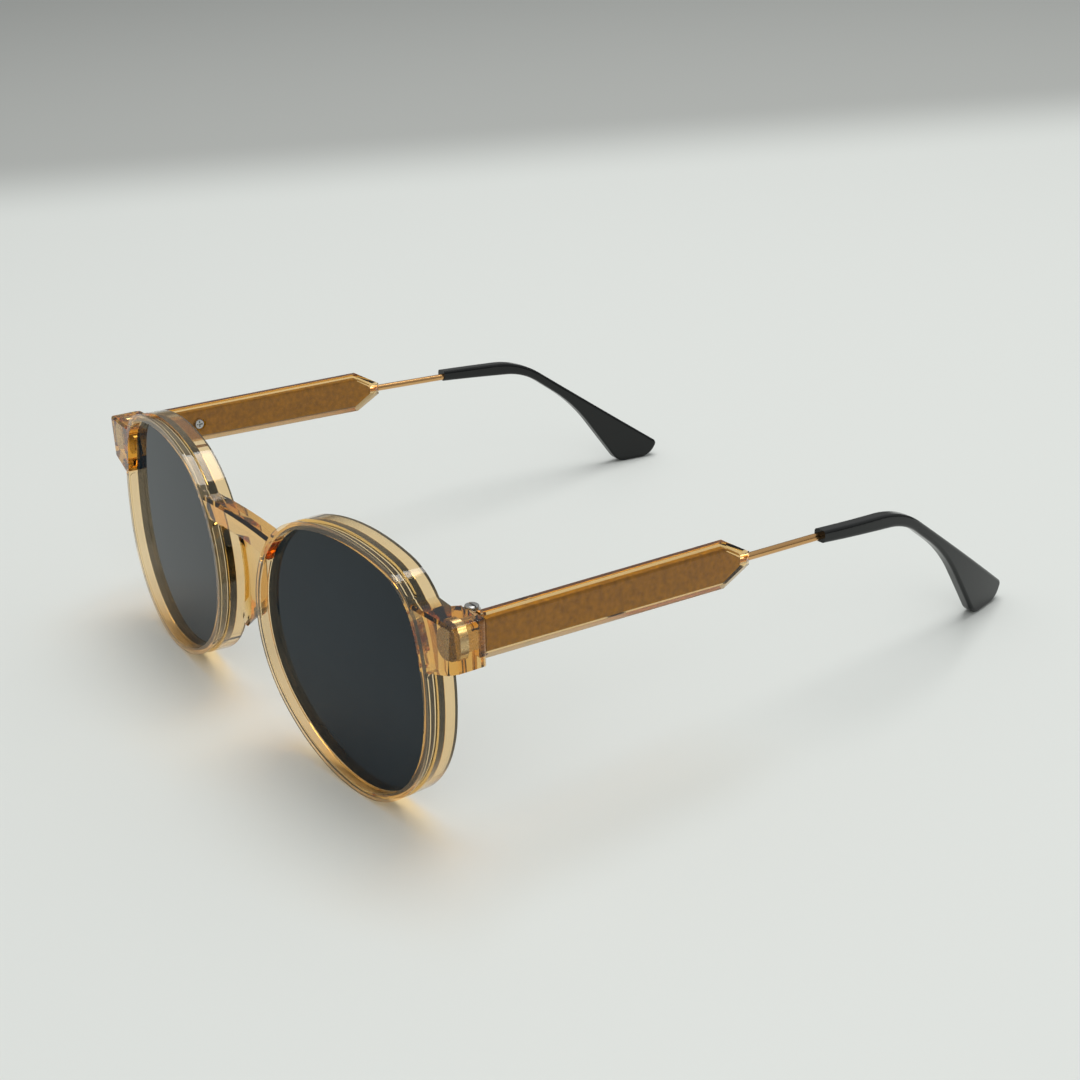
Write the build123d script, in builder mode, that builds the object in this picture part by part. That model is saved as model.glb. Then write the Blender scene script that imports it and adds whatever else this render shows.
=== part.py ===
"""Panto sunglasses with a clear moulded front and wire-ended temples.

Millimetres. X runs to the wearer's left, Y from the front back along the temples, Z up.
Every piece is drawn with the front standing upright and its lowest edge at Z = 0.
At the end the whole pair is leaned back until rims and temple tips stand on one floor.
"""

import os
from math import atan2, cos, degrees, radians, sin, sqrt

from build123d import *

os.makedirs("parts", exist_ok=True)

through = 100.0  # deeper than any cut that goes right through

# Front: overall form
wrap_angle = 4.5  # each rim turns back from the plane of the bridge
wrap_start = 11.0  # distance from the middle at which the rims start to turn
lens_low_x = 39.7  # lowest point of a lens opening, from the middle
rim_face = 1.4  # width of the rim around the opening, seen from the front
rim_depth = 6.2  # front to back

# Lens opening: six tangent arcs, from the lowest point outwards and up.
# The last two radii follow from the others, because the outline closes.
opening_turns = [83, 25.3, 56.9, 30, 122.2, 42.6]
opening_radii = [22.2, 42.6, 12.5, 49.2]

# Lenses and the two grooves of each rim
lens_setback = 2.1  # front of the lens behind the front of the rim
lens_thickness = 1.8
lens_seat = 0.5  # how far the lens enters the rim
seat_clearance = 0.1
moulding_gap = 0.02  # shrinkage gap between the plastic and what is set into it
slot_start = 0.55
slot_width = 1.75
slot_floor = 0.85  # plastic left between the slot and the opening
slot_land = 0.55  # the slot stops this far from the bridge and the endpiece

# Bridge
bridge_top = 42.2
bridge_bottom = 37.6
bridge_rise = 0.5
bridge_half = 14.0
bridge_draw = 3.5  # its lower edge is this much shorter at each end
bridge_setback = 0.3
bridge_depth = 3.6
bridge_bevel = 1.3
bridge_top_bevel = 0.6

# Moulded nose pads behind the inner side of the rims
pad_x = 8.6
pad_z = 25.3
pad_width = 6.6
pad_height = 21.0
pad_depth = 3.4  # behind the rim
pad_root = 1.0  # how far the pad runs into the rim
pad_taper = 22

# Height that the endpieces, the hinges and the temples share: the temple's centre line at the hinge
temple_z = 39.2

# Endpieces
end_half = 70.6  # half of the overall width
end_root = 16.3  # root of the endpiece, outwards from the lowest point of the opening
end_above = 4.6  # top of the endpiece above the temple's centre line
end_below = 4.1
end_root_below = 6.3  # the lower edge slants down to the rim by this much
end_slant = 7.4
end_back = 11.8
end_inset = 7.4  # inner side of the endpiece, from its outer side
end_inner_draw = 2.4  # the inner side meets the rim this far in front of the back
end_corner = 0.35  # cut at the top of the outer front corner
end_corner_low = 1.25  # the same cut at the bottom of the endpiece
end_top_bevel = 0.5
end_round = 1.3
end_draft = 0.2

# Hinge: five knuckles on one upright screw
hinge_inset = 6.2  # axis from the outer side of the endpiece
hinge_behind = 0.9  # axis behind the back of the endpiece
knuckle_count = 5
knuckle_height = 1.3
knuckle_gap = 0.06
knuckle_radius = 1.5
recess_radius = 1.85
hinge_lift = 0.3  # middle of the hinge above the temple's centre line
pin_radius = 0.65
pin_clearance = 0.05
pin_head_radius = 1.3
pin_head_height = 0.8
pin_slot_width = 0.35
arm_length = 1.9  # from the axis to the plate of a leaf
arm_lap = 0.2
leaf_thickness = 0.8
leaf_width = 1.7
leaf_gap = 0.3  # between the two leaves when the temple stands open
anchor_height = 5.8
anchor_width = 4.6
anchor_thickness = 1.6
anchor_depth = 5.0  # front of the anchor, from the back of the endpiece
stem_width = 1.6
stem_height = 3.4

# Temples, measured from the hinge axis backwards (run) and from their centre line up (rise)
temple_inset = 3.4  # middle of the temple from the outer side of the endpiece
temple_pitch = 0.7  # the centre line drops towards the back
temple_thickness = 3.2
sleeve_shoulder = 52.5
sleeve_point = 5.9  # length of the pointed end
sleeve_half_front = 4.2
sleeve_half_back = 4.6
sleeve_nose = 1.3
sleeve_bevel = 1.4  # along the flat sides
sleeve_bevel_depth = 0.95  # along the narrow sides
core_margin = 1.4
core_thickness = 1.1
core_setback = 0.9  # front of the core behind the front of the sleeve
core_point_gap = 2.6
tongue_thickness = 0.5
tongue_length = 12.5
tongue_height = 4.4
temple_screw_run = 10.9
temple_screw_radius = 0.6
temple_head_radius = 1.1
temple_head_height = 0.55
head_pocket_radius = 1.45
cross_width = 0.3
cross_length = 1.45
cross_depth = 0.38
wire_radius = 0.75
bare_wire = 18.4  # from the end of the sleeve to the tip
wire_knee_radius = 20.0

# Temple tips: corners of the side outline as (run, rise), each with its radius, and the wire's
# path inside, all measured from the front of the tip
tip_corners = [
    (0, 1.25),
    (22.4, 0.4),
    (62.3, -26.9),
    (60.2, -30.6),
    (51.2, -31.2),
    (38.0, -13.2),
    (23.5, -2.9),
    (0, -1.25),
]
tip_radii = [0, 24, 1.2, 4.5, 4.2, 45, 18, 0]
wire_knee = (21.6, -0.6)
wire_end = (41.0, -13.9)
tip_thickness = 2.9
tip_bend_radius = 248.0  # from its front on, the tip curves gently inwards
tip_round = 0.7

# Places that follow from the sizes above
hinge_x = end_half - hinge_inset
hinge_y = end_back + hinge_behind
leaf_x = hinge_x + arm_length
temple_x = end_half - temple_inset
hinge_height = knuckle_count * (knuckle_height + knuckle_gap) - knuckle_gap
hinge_middle = temple_z + hinge_lift
hinge_bottom = hinge_middle - hinge_height / 2
hinge_top = hinge_middle + hinge_height / 2
end_top = temple_z + end_above
end_bottom = temple_z - end_below
end_root_bottom = temple_z - end_root_below
end_root_x = lens_low_x + end_root
sleeve_apex = sleeve_shoulder + sleeve_point
sleeve_front = leaf_gap - hinge_behind
core_front = sleeve_front + core_setback
core_apex = sleeve_apex - core_point_gap
tip_front = sleeve_apex + bare_wire
tip_length = max(run for run, rise in tip_corners)

pieces = []


def finish(builder, label):
    """Name a finished piece and keep it for export."""
    builder.part.label = label
    pieces.append(builder.part)


def finish_pair(builder, name):
    """Keep a left piece and its mirror image for the right side."""
    right = mirror(builder.part, about=Plane.YZ)
    builder.part.label = f"{name}_left"
    right.label = f"{name}_right"
    pieces.extend([builder.part, right])


def closing_radii(radii, turns):
    """Return all arc radii of the opening, with the last two solved so that it closes."""
    chords = []
    heading = 0.0
    for turn in turns:
        after = heading + radians(turn)
        chords.append((sin(after) - sin(heading), cos(heading) - cos(after)))
        heading = after
    sum_x = sum(r * chord[0] for r, chord in zip(radii, chords))
    sum_z = sum(r * chord[1] for r, chord in zip(radii, chords))
    (ax, az), (bx, bz) = chords[-2:]
    determinant = ax * bz - az * bx
    first = (-sum_x * bz + sum_z * bx) / determinant
    second = (-ax * sum_z + az * sum_x) / determinant
    return radii + [first, second]


arc_radii = closing_radii(opening_radii, opening_turns)
rim_plane = Plane(
    origin=(wrap_start, 0, 0),
    x_dir=(cos(radians(wrap_angle)), sin(radians(wrap_angle)), 0),
    z_dir=(sin(radians(wrap_angle)), -cos(radians(wrap_angle)), 0),
)


def rim_level(setback):
    """Plane parallel to the front of the left rim, the given distance behind it."""
    return rim_plane.offset(-setback)


def opening_outline(grow):
    """Face of the lens opening, made larger all round by the given amount."""
    with BuildSketch() as sketch:
        with BuildLine():
            point = Vector(lens_low_x - wrap_start, rim_face - grow)
            tangent = Vector(1, 0)
            for radius, turn in zip(arc_radii, opening_turns):
                arc = JernArc(point, tangent, radius + grow, turn)
                point = arc @ 1
                tangent = arc % 1
        make_face()
    return sketch.sketch


def rim_front_y(x):
    """Y of the front of the left rim at a given X."""
    return (x - wrap_start) * sin(radians(wrap_angle)) / cos(radians(wrap_angle))


# ---------------------------------------------------------------- front frame

# Endpiece of the left side: its front view cut by its plan view
with BuildPart() as endpiece:
    with BuildSketch(Plane.XZ):
        with BuildLine():
            Polyline(
                (end_root_x, end_top + end_draft),
                (end_half, end_top - end_draft),
                (end_half, end_bottom),
                (end_half - end_slant, end_root_bottom),
                (end_root_x, end_root_bottom),
                close=True,
            )
        make_face()
    extrude(amount=-through)
    with BuildSketch(Plane.XY):
        with BuildLine():
            Polyline(
                (end_root_x, rim_front_y(end_root_x)),
                (end_half, rim_front_y(end_half)),
                (end_half, end_back),
                (hinge_x, end_back),
                (end_half - end_inset, end_back - end_inner_draw),
                (end_root_x, rim_front_y(end_root_x) + rim_depth),
                close=True,
            )
        make_face()
    extrude(amount=through, mode=Mode.INTERSECT)
    back_corner = endpiece.edges().filter_by(Axis.Z).sort_by(Axis.X)[-2:].sort_by(Axis.Y)[-1]
    fillet(back_corner, end_round)
    top_edges = endpiece.faces().sort_by(Axis.Z)[-1].edges()
    chamfer(top_edges.sort_by(Axis.Y)[0], end_top_bevel)
    top_edges = endpiece.faces().sort_by(Axis.Z)[-1].edges()
    outer_edges = top_edges.filter_by(lambda edge: edge.center().X > hinge_x)
    fillet(outer_edges.sort_by(Axis.Y)[1:], end_round / 2)
    # the outer front corner is cut back, more so towards the bottom
    corner_slope = (end_corner_low - end_corner) / (end_top - end_bottom)
    corner_plane = Plane(
        origin=(end_half - end_corner, rim_front_y(end_half), end_top),
        z_dir=(1, -1, -corner_slope),
    )
    split(bisect_by=corner_plane, keep=Keep.BOTTOM)

# ---------------------------------------------------------------- hinges


def knuckle_level(number):
    """Height of the underside of one knuckle, counted from the bottom."""
    return hinge_bottom + number * (knuckle_height + knuckle_gap)


def knuckles(numbers, arm_y):
    """Return the chosen knuckles, each with its arm to the leaf at the given Y."""
    with BuildPart() as group:
        for number in numbers:
            with BuildSketch(Plane.XY.offset(knuckle_level(number))):
                with Locations((hinge_x, hinge_y)):
                    Circle(knuckle_radius)
                with Locations((hinge_x + (arm_length + arm_lap) / 2, arm_y)):
                    Rectangle(arm_length + arm_lap, leaf_thickness)
                with Locations((hinge_x, hinge_y)):
                    Circle(pin_radius + pin_clearance, mode=Mode.SUBTRACT)
            extrude(amount=knuckle_height)
    return group.part


front_leaf_y = end_back - leaf_thickness / 2
temple_leaf_y = end_back + leaf_gap + leaf_thickness / 2
anchor_y = end_back - anchor_depth


def front_anchor(grow):
    """Plate, stem and anchor of the front leaf, grown all round by the given amount."""
    anchor_x = leaf_x + leaf_width / 2
    with BuildPart() as group:
        with BuildSketch(Plane.XY.offset(hinge_bottom - grow)):
            with Locations((anchor_x, front_leaf_y)):
                Rectangle(leaf_width + 2 * grow, leaf_thickness + 2 * grow)
        extrude(amount=hinge_height + 2 * grow)
        with Locations((anchor_x, (anchor_y + front_leaf_y) / 2, hinge_middle)):
            Box(stem_width + 2 * grow, front_leaf_y - anchor_y, stem_height + 2 * grow)
        with BuildSketch(Plane.XZ.offset(grow - anchor_y)):
            with Locations((anchor_x, hinge_middle)):
                SlotOverall(anchor_height + 2 * grow, anchor_width + 2 * grow, rotation=90)
        extrude(amount=-anchor_thickness - 2 * grow)
    return group.part


# Front leaf: three knuckles, a plate and the anchor that the endpiece is moulded around
with BuildPart() as hinge_front_leaf:
    add(knuckles(range(0, knuckle_count, 2), front_leaf_y))
    add(front_anchor(0))

# Screw of the hinge: domed slotted head above, shaft down through all five knuckles
with BuildPart() as hinge_screw:
    with BuildSketch(Plane.XY.offset(hinge_bottom)):
        with Locations((hinge_x, hinge_y)):
            Circle(pin_radius)
    extrude(amount=hinge_height)
    with BuildSketch(Plane.XY.offset(hinge_top)):
        with Locations((hinge_x, hinge_y)):
            Circle(pin_head_radius)
    extrude(amount=pin_head_height)
    fillet(hinge_screw.edges().group_by(Axis.Z)[-1], pin_head_height / 2)
    with Locations((hinge_x, hinge_y, hinge_top + pin_head_height)):
        Box(3 * pin_head_radius, pin_slot_width, pin_head_height, mode=Mode.SUBTRACT)

# Slot cutter: runs round the outer wall of the rim, clear of the bridge and endpiece
with BuildPart() as slot_cutter:
    with BuildSketch(rim_level(slot_start)):
        add(opening_outline(2 * rim_face))
        add(opening_outline(slot_floor), mode=Mode.SUBTRACT)
    extrude(amount=-slot_width)
    with BuildSketch(Plane.XZ):
        with Locations((0, (bridge_top + bridge_bottom) / 2)):
            Rectangle(2 * lens_low_x, bridge_top - bridge_bottom + 2 * slot_land)
        with Locations((end_half, (end_top + end_root_bottom) / 2)):
            Rectangle(2 * (end_half - lens_low_x), end_top - end_root_bottom + 2 * slot_land)
    extrude(amount=-through, mode=Mode.SUBTRACT)
    slot_ends = slot_cutter.edges().filter_by(Axis((0, 0, 0), rim_plane.x_dir))
    fillet(slot_ends, 0.47 * slot_width)

# Bridge: a bar between the rims, arched above and below, with its lower front edge cut back
with BuildPart() as bridge:
    with BuildSketch(Plane.XZ.offset(-bridge_setback)):
        with BuildLine():
            top_left = (-bridge_half, bridge_top)
            top_right = (bridge_half, bridge_top)
            bottom_right = (bridge_half - bridge_draw, bridge_bottom - bridge_rise)
            bottom_left = (bridge_draw - bridge_half, bridge_bottom - bridge_rise)
            ThreePointArc(top_left, (0, bridge_top + bridge_rise), top_right)
            Line(top_right, bottom_right)
            ThreePointArc(bottom_right, (0, bridge_bottom), bottom_left)
            Line(bottom_left, top_left)
        make_face()
    extrude(amount=-bridge_depth)
    bridge_arches = bridge.faces().sort_by(Axis.Y)[0].edges().sort_by(Axis.Z)
    chamfer(bridge_arches[0], bridge_bevel)
    chamfer(bridge.faces().sort_by(Axis.Y)[0].edges().sort_by(Axis.Z)[-1], bridge_top_bevel)

with BuildPart() as front_frame:
    with BuildSketch(rim_plane):
        add(opening_outline(rim_face))
    extrude(amount=-rim_depth)
    add(endpiece.part)
    # nose pad: a tapered oval behind the inner side of the rim
    with BuildSketch(Plane.XZ.offset(pad_root - rim_depth)):
        with Locations((pad_x, pad_z)):
            Ellipse(pad_width / 2, pad_height / 2)
    extrude(amount=-(pad_depth + pad_root), taper=pad_taper)
    with BuildSketch(rim_plane):
        add(opening_outline(0))
    extrude(amount=through, both=True, mode=Mode.SUBTRACT)
    with BuildSketch(rim_level(lens_setback - moulding_gap)):
        add(opening_outline(lens_seat + seat_clearance))
    extrude(amount=-lens_thickness - 2 * moulding_gap, mode=Mode.SUBTRACT)
    add(slot_cutter.part, mode=Mode.SUBTRACT)
    # room for the knuckles and their arms at the inner back corner of the endpiece
    with BuildSketch(Plane.XY):
        with Locations((hinge_x, hinge_y)):
            Circle(recess_radius)
        with Locations((hinge_x + arm_length / 2, front_leaf_y)):
            Rectangle(arm_length, leaf_thickness + 2 * moulding_gap)
    extrude(amount=through, mode=Mode.SUBTRACT)
    add(front_anchor(moulding_gap), mode=Mode.SUBTRACT)
    mirror(about=Plane.YZ)
    add(bridge.part)
finish(front_frame, "front_frame")

# ---------------------------------------------------------------- lenses

with BuildPart() as lens:
    with BuildSketch(rim_level(lens_setback)):
        add(opening_outline(lens_seat))
    extrude(amount=-lens_thickness)
finish_pair(lens, "lens")
finish_pair(hinge_front_leaf, "hinge_front_leaf")
finish_pair(hinge_screw, "hinge_screw")

# ---------------------------------------------------------------- temples

temple_plane = Plane(
    origin=(temple_x, hinge_y, temple_z),
    x_dir=(0, cos(radians(temple_pitch)), -sin(radians(temple_pitch))),
    z_dir=(1, 0, 0),
)
inner_face = -temple_thickness / 2
core_face = core_thickness / 2
tongue_face = tongue_thickness / 2


def temple_outline(margin, front, apex, nose):
    """Side outline of the temple plate with its pointed end, drawn in by a margin."""
    with BuildSketch() as sketch:
        with BuildLine():
            Polyline(
                (front, sleeve_half_front - margin),
                (sleeve_shoulder - margin / 2, sleeve_half_back - margin),
                (apex, nose),
                (apex, -nose),
                (sleeve_shoulder - margin / 2, margin - sleeve_half_back),
                (front, margin - sleeve_half_front),
                close=True,
            )
        make_face()
    return sketch.sketch


def temple_tongue(grow):
    """Cross plate and tongue of the temple leaf, grown all round by the given amount."""
    with BuildPart() as group:
        with BuildSketch(Plane.XY.offset(hinge_bottom - grow)):
            with Locations(((leaf_x + temple_x + tongue_face) / 2, temple_leaf_y)):
                Rectangle(temple_x + tongue_face - leaf_x + 2 * grow, leaf_thickness + 2 * grow)
        extrude(amount=hinge_height + 2 * grow)
        with BuildSketch(temple_plane.offset(-tongue_face - grow)):
            with Locations((sleeve_front + (leaf_thickness + tongue_length) / 2, 0)):
                Rectangle(tongue_length + 2 * grow, tongue_height + 2 * grow)
        extrude(amount=tongue_thickness + 2 * grow)
    return group.part


def core_plate(grow):
    """Plate of the core, grown all round by the given amount."""
    with BuildPart() as group:
        with BuildSketch(temple_plane.offset(-core_face - grow)):
            add(temple_outline(core_margin - grow, core_front - grow, core_apex + grow, wire_radius + grow))
        extrude(amount=core_thickness + 2 * grow)
    return group.part


# Bore for the temple screw, from the inner side of the temple to the outer face of the tongue
with BuildPart() as screw_bore:
    with BuildSketch(temple_plane.offset(inner_face)):
        with Locations((temple_screw_run, 0)):
            Circle(temple_screw_radius)
    extrude(amount=tongue_face - inner_face)

# Temple leaf: two knuckles, a cross plate in the end of the temple, a tongue inside the core
with BuildPart() as hinge_temple_leaf:
    add(knuckles(range(1, knuckle_count, 2), temple_leaf_y))
    add(temple_tongue(0))
    add(screw_bore.part, mode=Mode.SUBTRACT)
finish_pair(hinge_temple_leaf, "hinge_temple_leaf")

# Core: flat gilt plate inside the clear sleeve, folded over the tongue
with BuildPart() as temple_core:
    add(core_plate(0))
    add(temple_tongue(0), mode=Mode.SUBTRACT)
    add(screw_bore.part, mode=Mode.SUBTRACT)
finish_pair(temple_core, "temple_core")


def tip_inset(run):
    """How far the middle of the tip has come inwards at a distance behind its front."""
    return tip_bend_radius - sqrt(tip_bend_radius**2 - run**2)


def wire_point(run, rise):
    """Point of the wire's path, measured from the front of the tip."""
    return temple_plane.from_local_coords((tip_front + run, rise, -tip_inset(run)))


def wire_rod(grow):
    """Wire from the end of the core to the end of its run in the tip, grown by the given amount."""
    with BuildPart() as rod:
        with BuildLine() as wire_line:
            FilletPolyline(
                temple_plane.from_local_coords((core_apex, 0, 0)),
                wire_point(*wire_knee),
                wire_point(*wire_end),
                radius=wire_knee_radius,
            )
        with BuildSketch(Plane(origin=wire_line.line @ 0, z_dir=temple_plane.x_dir)):
            Circle(wire_radius + grow)
        sweep()
    return rod.part


with BuildPart() as temple_wire:
    add(wire_rod(0))
finish_pair(temple_wire, "temple_wire")

# Screw through the inner wall and the core into the tongue
with BuildPart() as temple_screw:
    with BuildSketch(temple_plane.offset(inner_face)):
        with Locations((temple_screw_run, 0)):
            Circle(temple_head_radius)
    extrude(amount=temple_head_height)
    fillet(temple_screw.edges().group_by(Axis.X)[0], temple_head_height / 3)
    add(screw_bore.part)
    with BuildSketch(temple_plane.offset(inner_face)):
        with Locations((temple_screw_run, 0)):
            Rectangle(cross_length, cross_width)
            Rectangle(cross_width, cross_length)
    extrude(amount=cross_depth, mode=Mode.SUBTRACT)
finish_pair(temple_screw, "temple_screw")

# Sleeve: clear bevelled plate moulded around the core, the tongue and the root of the wire
with BuildPart() as temple_sleeve:
    with BuildSketch(temple_plane.offset(inner_face)):
        add(temple_outline(0, sleeve_front, sleeve_apex, sleeve_nose))
    extrude(amount=temple_thickness)
    for side in (0, -1):
        flat = temple_sleeve.faces().sort_by(Axis.X)[side]
        chamfer(flat.edges().sort_by(Axis.Y)[1:], sleeve_bevel, sleeve_bevel_depth, reference=flat)
    # room for the knuckles at the inner front corner
    with BuildSketch(Plane.XY):
        with Locations((hinge_x, hinge_y)):
            Circle(recess_radius)
        with Locations((hinge_x + arm_length / 2, temple_leaf_y)):
            Rectangle(arm_length, leaf_thickness + 2 * moulding_gap)
    extrude(amount=through, mode=Mode.SUBTRACT)
    with BuildSketch(temple_plane.offset(inner_face)):
        with Locations((temple_screw_run, 0)):
            Circle(head_pocket_radius)
    extrude(amount=temple_head_height, mode=Mode.SUBTRACT)
    add(screw_bore.part, mode=Mode.SUBTRACT)
    add(core_plate(moulding_gap), mode=Mode.SUBTRACT)
    add(temple_tongue(moulding_gap), mode=Mode.SUBTRACT)
    add(wire_rod(moulding_gap), mode=Mode.SUBTRACT)
finish_pair(temple_sleeve, "temple_sleeve")

# Tip: side outline cut by its plan, so that it is flat, curved down and bent inwards
with BuildPart() as temple_tip:
    with BuildSketch(temple_plane.offset(-tip_inset(tip_length) - tip_thickness)):
        with BuildLine():
            corners = [(tip_front + run, rise) for run, rise in tip_corners]
            FilletPolyline(*corners, radius=tip_radii, close=True)
        make_face()
    extrude(amount=tip_inset(tip_length) + 2 * tip_thickness)
    with BuildSketch(Plane.XY):
        with Locations((temple_x - tip_bend_radius, hinge_y + tip_front)):
            Circle(tip_bend_radius + tip_thickness / 2)
            Circle(tip_bend_radius - tip_thickness / 2, mode=Mode.SUBTRACT)
    extrude(amount=through, mode=Mode.INTERSECT)
    side_edges = temple_tip.edges().filter_by(Axis.X, reverse=True).filter_by(Axis.Z, reverse=True)
    fillet(side_edges.filter_by(lambda edge: edge.center().Y > hinge_y + tip_front + tip_round), tip_round)
    add(temple_wire.part, mode=Mode.SUBTRACT)
finish_pair(temple_tip, "temple_tip")

# ---------------------------------------------------------------- placement

# Lean the pair back until the heels of the rims and the ends of the tips share one floor
lean = 0.0
for round_number in range(6):
    rim_box = (Rot(X=-lean) * front_frame.part).bounding_box()
    tip_box = (Rot(X=-lean) * temple_tip.part).bounding_box()
    lean += degrees(atan2(tip_box.min.Z - rim_box.min.Z, tip_box.center().Y - rim_box.center().Y))
leaned = [Rot(X=-lean) * piece for piece in pieces]
boxes = [piece.bounding_box() for piece in leaned]
middle_y = (min(box.min.Y for box in boxes) + max(box.max.Y for box in boxes)) / 2
floor_z = min(box.min.Z for box in boxes)
for piece in leaned:
    export_step(Pos(0, -middle_y, -floor_z) * piece, f"parts/{piece.label}.step")
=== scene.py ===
from math import cos, radians, sin

import bpy
from mathutils import Matrix, Vector


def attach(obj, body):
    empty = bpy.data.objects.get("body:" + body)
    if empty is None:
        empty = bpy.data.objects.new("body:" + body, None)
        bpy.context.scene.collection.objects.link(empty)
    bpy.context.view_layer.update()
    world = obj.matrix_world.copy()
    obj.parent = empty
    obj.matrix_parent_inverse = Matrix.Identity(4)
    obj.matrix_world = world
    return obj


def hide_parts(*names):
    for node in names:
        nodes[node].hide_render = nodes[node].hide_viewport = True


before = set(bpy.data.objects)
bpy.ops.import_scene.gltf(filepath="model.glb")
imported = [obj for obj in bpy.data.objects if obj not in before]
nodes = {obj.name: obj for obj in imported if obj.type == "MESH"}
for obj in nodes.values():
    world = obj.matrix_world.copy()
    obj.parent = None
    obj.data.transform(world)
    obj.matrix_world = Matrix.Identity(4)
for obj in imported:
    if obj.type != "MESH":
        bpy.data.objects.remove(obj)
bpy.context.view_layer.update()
bpy.ops.object.select_all(action="DESELECT")

# ---------------------------------------------------------------- camera
# A camera with a fairly long lens stands at the wearer's left front and leans a little.
# It looks down at the middle of the open pair.
camera_turn = 56.024
camera_height = 23.563
camera_roll = 3.323
camera_distance = 0.3748
camera_aim = Vector((0.00165, -0.00456, 0.01780))
camera_focal_length = 57.74

towards_camera = Vector((
    sin(radians(camera_turn)) * cos(radians(camera_height)),
    -cos(radians(camera_turn)) * cos(radians(camera_height)),
    sin(radians(camera_height)),
))
bpy.ops.object.camera_add(location=camera_aim + camera_distance * towards_camera)
camera = bpy.context.object
camera.name = "camera"
looking = (-towards_camera).to_track_quat("-Z", "Y").to_matrix().to_4x4()
camera.matrix_world = (
    Matrix.Translation(camera.location) @ looking @ Matrix.Rotation(radians(-camera_roll), 4, "Z")
)
camera.data.lens = camera_focal_length
camera.data.sensor_width = 36.0
camera.data.clip_start = 0.01
bpy.context.scene.camera = camera

# ---------------------------------------------------------------- table and room
# The pair stands on a pale matt board that runs on without an edge. Far behind it the board's
# colour is painted grey, painted shade for where the light of the window no longer reaches.
# The rest of the room is dim.
table_size = 40.0
# direction and span of the painted shade laid into the board's colour
painted_shade_side = radians(-150.7)
painted_shade_begins = 0.44
painted_shade_ends = 0.60


def new_material(name):
    """Return a material with its node tree and main shader."""
    material = bpy.data.materials.new(name)
    material.use_nodes = True
    return material, material.node_tree, material.node_tree.nodes["Principled BSDF"]


bpy.ops.mesh.primitive_plane_add(size=table_size, location=(0.0, 0.0, 0.0))
table = bpy.context.object
table.name = "table"

table_paint, table_tree, table_shader = new_material("table_paint")
table_shader.inputs["Roughness"].default_value = 0.6
table_place = table_tree.nodes.new("ShaderNodeTexCoord")
table_turn = table_tree.nodes.new("ShaderNodeMapping")
table_turn.inputs["Rotation"].default_value = (0.0, 0.0, painted_shade_side)
table_axis = table_tree.nodes.new("ShaderNodeSeparateXYZ")
# painted shade: the board's base colour turns from pale to grey far behind the pair
table_painted_shade = table_tree.nodes.new("ShaderNodeValToRGB")
table_painted_shade.color_ramp.interpolation = "EASE"
table_painted_shade.color_ramp.elements[0].position = painted_shade_begins
table_painted_shade.color_ramp.elements[0].color = (0.735, 0.755, 0.725, 1.0)
table_painted_shade.color_ramp.elements[1].position = painted_shade_ends
table_painted_shade.color_ramp.elements[1].color = (0.44, 0.45, 0.43, 1.0)
table_tree.links.new(table_place.outputs["Object"], table_turn.inputs["Vector"])
table_tree.links.new(table_turn.outputs["Vector"], table_axis.inputs["Vector"])
table_tree.links.new(table_axis.outputs["X"], table_painted_shade.inputs["Fac"])
table_tree.links.new(table_painted_shade.outputs["Color"], table_shader.inputs["Base Color"])
table.data.materials.append(table_paint)

dim_up_to = 0.05
bright_from = 0.55
room = bpy.data.worlds.new("room")
bpy.context.scene.world = room
room.use_nodes = True
room_tree = room.node_tree
room_place = room_tree.nodes.new("ShaderNodeTexCoord")
room_axis = room_tree.nodes.new("ShaderNodeSeparateXYZ")
room_fade = room_tree.nodes.new("ShaderNodeValToRGB")
room_fade.color_ramp.elements[0].position = dim_up_to
room_fade.color_ramp.elements[0].color = (0.30, 0.30, 0.29, 1.0)
room_fade.color_ramp.elements[1].position = bright_from
room_fade.color_ramp.elements[1].color = (0.86, 0.88, 0.88, 1.0)
room_tree.links.new(room_place.outputs["Object"], room_axis.inputs["Vector"])
room_tree.links.new(room_axis.outputs["Z"], room_fade.inputs["Fac"])
# the camera itself sees a plain pale wall instead of the dim room
room_ray = room_tree.nodes.new("ShaderNodeLightPath")
room_wall = room_tree.nodes.new("ShaderNodeMix")
room_wall.data_type = "RGBA"
room_wall.inputs["B"].default_value = (0.72, 0.73, 0.72, 1.0)
room_tree.links.new(room_ray.outputs["Is Camera Ray"], room_wall.inputs["Factor"])
room_tree.links.new(room_fade.outputs["Color"], room_wall.inputs["A"])
room_tree.links.new(room_wall.outputs["Result"], room_tree.nodes["Background"].inputs["Color"])
room_tree.nodes["Background"].inputs["Strength"].default_value = 0.6


def soft_lamp(name, place, size, power):
    """Add a square lamp that shines on the middle of the pair."""
    bpy.ops.object.light_add(type="AREA", location=place)
    lamp = bpy.context.object
    lamp.name = name
    lamp.data.shape = "SQUARE"
    lamp.data.size = size
    lamp.data.energy = power
    lamp.rotation_euler = (-Vector(place)).to_track_quat("-Z", "Y").to_euler()


soft_lamp("roof_window", place=(-0.15, 0.30, 1.40), size=0.9, power=11.5)
soft_lamp("side_window", place=(0.9, -0.4, 0.7), size=0.6, power=1.2)

# ---------------------------------------------------------------- moulded front
# Both rims, the bridge, the endpieces and the nose pads are one moulding of clear champagne
# plastic, polished all over, so the light runs through it and gathers in its edges.


def cover(piece, material):
    """Give a piece one material."""
    piece.data.materials.clear()
    piece.data.materials.append(material)


def dress(node_names, material):
    """Give the listed parts one material."""
    for node_name in node_names:
        cover(nodes[node_name], material)


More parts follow.
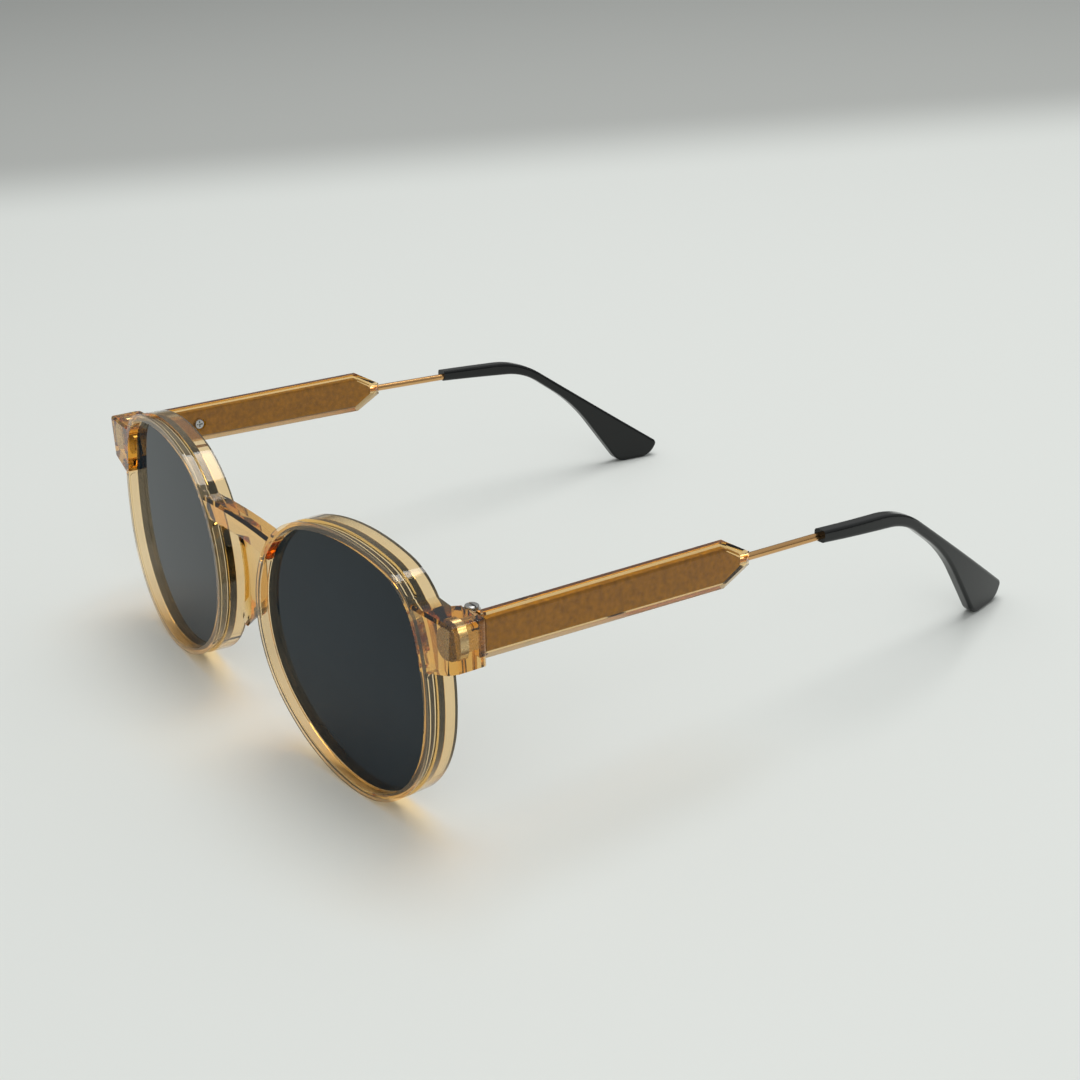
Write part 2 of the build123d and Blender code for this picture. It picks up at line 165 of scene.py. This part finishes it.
def start_group(name, numbers, colours, results):
    """Open a shader group with its number and colour inputs and its results."""
    group = bpy.data.node_groups.new(name, "ShaderNodeTree")
    group.interface.new_socket("Vector", in_out="INPUT", socket_type="NodeSocketVector")
    for number in numbers:
        group.interface.new_socket(number, in_out="INPUT", socket_type="NodeSocketFloat")
    for colour in colours:
        group.interface.new_socket(colour, in_out="INPUT", socket_type="NodeSocketColor")
    for result, kind in results:
        group.interface.new_socket(result, in_out="OUTPUT", socket_type=kind)
    entry = group.nodes.new("NodeGroupInput")
    leaving = group.nodes.new("NodeGroupOutput")
    return group, entry, leaving


# uneven colour of a moulding or a plating, in soft clouds
clouds, clouds_in, clouds_out = start_group(
    "clouds",
    numbers=["Scale"],
    colours=["Low", "High"],
    results=[("Color", "NodeSocketColor")],
)
clouds_noise = clouds.nodes.new("ShaderNodeTexNoise")
clouds_noise.inputs["Detail"].default_value = 3.0
clouds_span = clouds.nodes.new("ShaderNodeMapRange")
clouds_span.inputs["From Min"].default_value = 0.3
clouds_span.inputs["From Max"].default_value = 0.7
clouds_mix = clouds.nodes.new("ShaderNodeMix")
clouds_mix.data_type = "RGBA"
clouds.links.new(clouds_in.outputs["Vector"], clouds_noise.inputs["Vector"])
clouds.links.new(clouds_in.outputs["Scale"], clouds_noise.inputs["Scale"])
clouds.links.new(clouds_noise.outputs["Fac"], clouds_span.inputs["Value"])
clouds.links.new(clouds_span.outputs["Result"], clouds_mix.inputs["Factor"])
clouds.links.new(clouds_in.outputs["Low"], clouds_mix.inputs["A"])
clouds.links.new(clouds_in.outputs["High"], clouds_mix.inputs["B"])
clouds.links.new(clouds_mix.outputs["Result"], clouds_out.inputs["Color"])

# fine grain and handling marks: a roughness between two values, and a height
grain, grain_in, grain_out = start_group(
    "grain",
    numbers=["Scale", "Smooth", "Rough"],
    colours=[],
    results=[("Roughness", "NodeSocketFloat"), ("Height", "NodeSocketFloat")],
)
grain_noise = grain.nodes.new("ShaderNodeTexNoise")
grain_noise.inputs["Detail"].default_value = 5.0
grain_span = grain.nodes.new("ShaderNodeMapRange")
grain_span.inputs["From Min"].default_value = 0.25
grain_span.inputs["From Max"].default_value = 0.75
grain.links.new(grain_in.outputs["Vector"], grain_noise.inputs["Vector"])
grain.links.new(grain_in.outputs["Scale"], grain_noise.inputs["Scale"])
grain.links.new(grain_noise.outputs["Fac"], grain_span.inputs["Value"])
grain.links.new(grain_in.outputs["Smooth"], grain_span.inputs["To Min"])
grain.links.new(grain_in.outputs["Rough"], grain_span.inputs["To Max"])
grain.links.new(grain_span.outputs["Result"], grain_out.inputs["Roughness"])
grain.links.new(grain_noise.outputs["Fac"], grain_out.inputs["Height"])


def object_place(tree, stretch=(1.0, 1.0, 1.0)):
    """Return object coordinates, stretched along the axes."""
    place = tree.nodes.new("ShaderNodeTexCoord")
    mapping = tree.nodes.new("ShaderNodeMapping")
    mapping.inputs["Scale"].default_value = stretch
    tree.links.new(place.outputs["Object"], mapping.inputs["Vector"])
    return mapping.outputs["Vector"]


def add_clouds(tree, place, scale, low, high):
    """Place the clouds group and return its colour."""
    node = tree.nodes.new("ShaderNodeGroup")
    node.node_tree = clouds
    node.inputs["Scale"].default_value = scale
    node.inputs["Low"].default_value = (*low, 1.0)
    node.inputs["High"].default_value = (*high, 1.0)
    tree.links.new(place, node.inputs["Vector"])
    return node.outputs["Color"]


def add_grain(tree, shader, place, scale, smooth, rough, depth=0.0):
    """Place the grain group, feed the shader's roughness, and its normal where it has a depth."""
    node = tree.nodes.new("ShaderNodeGroup")
    node.node_tree = grain
    node.inputs["Scale"].default_value = scale
    node.inputs["Smooth"].default_value = smooth
    node.inputs["Rough"].default_value = rough
    tree.links.new(place, node.inputs["Vector"])
    tree.links.new(node.outputs["Roughness"], shader.inputs["Roughness"])
    if depth:
        bump = tree.nodes.new("ShaderNodeBump")
        bump.inputs["Strength"].default_value = 0.5
        bump.inputs["Distance"].default_value = depth
        tree.links.new(node.outputs["Height"], bump.inputs["Height"])
        tree.links.new(bump.outputs["Normal"], shader.inputs["Normal"])


def clear_plastic(name, tint_low, tint_high, inner_colour, density, lamp_tint):
    """Return clear polished plastic, darker in its depth, that lets lamps through."""
    material, tree, shader = new_material(name)
    place = object_place(tree)
    tint = add_clouds(tree, place, scale=60.0, low=tint_low, high=tint_high)
    tree.links.new(tint, shader.inputs["Base Color"])
    add_grain(tree, shader, place, scale=240.0, smooth=0.02, rough=0.05)
    shader.inputs["IOR"].default_value = 1.5
    shader.inputs["Specular IOR Level"].default_value = 0.35
    shader.inputs["Transmission Weight"].default_value = 1.0
    ray = tree.nodes.new("ShaderNodeLightPath")
    let_through = tree.nodes.new("ShaderNodeBsdfTransparent")
    let_through.inputs["Color"].default_value = (*lamp_tint, 1.0)
    choice = tree.nodes.new("ShaderNodeMixShader")
    absorption = tree.nodes.new("ShaderNodeVolumeAbsorption")
    absorption.inputs["Color"].default_value = (*inner_colour, 1.0)
    absorption.inputs["Density"].default_value = density
    ending = tree.nodes["Material Output"]
    tree.links.new(ray.outputs["Is Shadow Ray"], choice.inputs["Fac"])
    tree.links.new(shader.outputs["BSDF"], choice.inputs[1])
    tree.links.new(let_through.outputs["BSDF"], choice.inputs[2])
    tree.links.new(choice.outputs["Shader"], ending.inputs["Surface"])
    tree.links.new(absorption.outputs["Volume"], ending.inputs["Volume"])
    return material


champagne = clear_plastic(
    "champagne_plastic",
    tint_low=(0.965, 0.765, 0.52),
    tint_high=(0.985, 0.805, 0.58),
    inner_colour=(0.945, 0.77, 0.25),
    density=300.0,
    lamp_tint=(0.96, 0.85, 0.68),
)
dress(["front_frame"], champagne)

# ---------------------------------------------------------------- lenses
# Flat dark lenses snapped into the groove of each rim.
# They are tinted right through and polished, and show the room on their surface.
lens_material, lens_tree, lens_shader = new_material("lens_tint")
lens_place = object_place(lens_tree)
lens_tint = add_clouds(
    lens_tree, lens_place, scale=25.0, low=(0.008, 0.016, 0.024), high=(0.013, 0.024, 0.033)
)
lens_tree.links.new(lens_tint, lens_shader.inputs["Base Color"])
add_grain(lens_tree, lens_shader, lens_place, scale=180.0, smooth=0.03, rough=0.07)
lens_shader.inputs["IOR"].default_value = 1.5
lens_shader.inputs["Specular IOR Level"].default_value = 0.14
dress(["lens_left", "lens_right"], lens_material)

# ---------------------------------------------------------------- hinge leaves
# Stamped leaves of nickel silver with rolled knuckles. The front leaf ends in an anchor that the
# endpiece is moulded round, and the temple leaf in a tongue that lies in the gilt core.


def plain_metal(name, low, high, smooth, rough, scale, depth, stretch=(1.0, 1.0, 1.0)):
    """Return a metal with faint clouds and a fine grain."""
    grains_across_a_cloud = 8
    material, tree, shader = new_material(name)
    place = object_place(tree, stretch)
    stain = add_clouds(tree, place, scale / grains_across_a_cloud, low, high)
    tree.links.new(stain, shader.inputs["Base Color"])
    add_grain(tree, shader, place, scale, smooth, rough, depth)
    shader.inputs["Metallic"].default_value = 1.0
    return material


def moulded_in(node_name, body, covered_until=None):
    """Stand a copy in for a metal part, swelled where plastic covers it, so that the two touch."""
    swelling = 0.00003  # a little more than the 0.00002 that the solids leave free round it
    same_point = 0.000001
    piece = bpy.data.objects.new(node_name + "_moulded_in", nodes[node_name].data.copy())
    bpy.context.scene.collection.objects.link(piece)
    bpy.ops.object.select_all(action="DESELECT")
    piece.select_set(True)
    bpy.context.view_layer.objects.active = piece
    bpy.ops.object.mode_set(mode="EDIT")
    bpy.ops.mesh.select_all(action="SELECT")
    bpy.ops.mesh.remove_doubles(threshold=same_point)
    if covered_until is not None:
        bpy.ops.mesh.select_all(action="DESELECT")
        bpy.ops.object.mode_set(mode="OBJECT")
        for vertex in piece.data.vertices:
            vertex.select = vertex.co.y < covered_until
        bpy.ops.object.mode_set(mode="EDIT")
    bpy.ops.transform.shrink_fatten(value=swelling, use_even_offset=True)
    bpy.ops.object.mode_set(mode="OBJECT")
    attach(piece, body)
    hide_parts(node_name)
    return piece


nickel = plain_metal(
    "nickel_silver",
    low=(0.60, 0.58, 0.55),
    high=(0.74, 0.72, 0.69),
    smooth=0.20,
    rough=0.38,
    scale=2500.0,
    depth=2e-6,
)
# the endpiece covers the leaf up to where its bare knuckles begin
knuckles_begin = -0.0634
for side in ("left", "right"):
    front_leaf = moulded_in("hinge_front_leaf_" + side, "front", knuckles_begin)
    cover(front_leaf, nickel)

# ---------------------------------------------------------------- screws
# Turned steel screws: a slotted one goes down through the knuckles of each hinge, and a small
# cross-slotted one holds each core to its tongue.
steel = plain_metal(
    "turned_steel",
    low=(0.40, 0.40, 0.39),
    high=(0.56, 0.55, 0.53),
    smooth=0.14,
    rough=0.28,
    scale=3000.0,
    depth=1e-6,
)
dress(["hinge_screw_left", "hinge_screw_right", "temple_screw_left", "temple_screw_right"], steel)

# ---------------------------------------------------------------- temple plates
# Each temple is a bevelled plate of the same champagne plastic with a pointed end.
# It is moulded over the gilt core and polished with it inside.
dress(["temple_sleeve_left", "temple_sleeve_right"], champagne)

# ---------------------------------------------------------------- cores
# A thin strip of brass, blasted to a fine satin grain and gilt, runs inside each plate.
# It is folded over the tongue of the hinge leaf, which has the same gilt finish.
satin_gilt = plain_metal(
    "satin_gilt",
    low=(0.32, 0.180, 0.001),
    high=(0.50, 0.285, 0.002),
    smooth=0.34,
    rough=0.55,
    scale=8000.0,
    depth=1.2e-5,
)
dress(["hinge_temple_leaf_left", "hinge_temple_leaf_right"], satin_gilt)
for side in ("left", "right"):
    core = moulded_in("temple_core_" + side, side + "_temple")
    cover(core, satin_gilt)

# ---------------------------------------------------------------- wires
# A round drawn wire, gilt and bright, is fixed in the end of each core.
# It is bare for a short way, then bends down inside the tip.
bright_gilt = plain_metal(
    "bright_gilt",
    low=(0.60, 0.33, 0.13),
    high=(0.72, 0.42, 0.18),
    smooth=0.12,
    rough=0.24,
    scale=2500.0,
    depth=1e-6,
    stretch=(1.0, 0.1, 1.0),
)
dress(["temple_wire_left", "temple_wire_right"], bright_gilt)

# ---------------------------------------------------------------- tips
# Black moulded ear tips, pushed over the bent ends of the wires.
# They widen into flat paddles that rest behind the ear, and are polished.
tip_material, tip_tree, tip_shader = new_material("black_tip")
tip_place = object_place(tip_tree)
tip_black = add_clouds(
    tip_tree, tip_place, scale=80.0, low=(0.001, 0.002, 0.002), high=(0.003, 0.004, 0.004)
)
tip_tree.links.new(tip_black, tip_shader.inputs["Base Color"])
add_grain(tip_tree, tip_shader, tip_place, scale=300.0, smooth=0.10, rough=0.20)
tip_shader.inputs["Specular IOR Level"].default_value = 0.4
dress(["temple_tip_left", "temple_tip_right"], tip_material)

bpy.context.scene.view_settings.view_transform = "Standard"
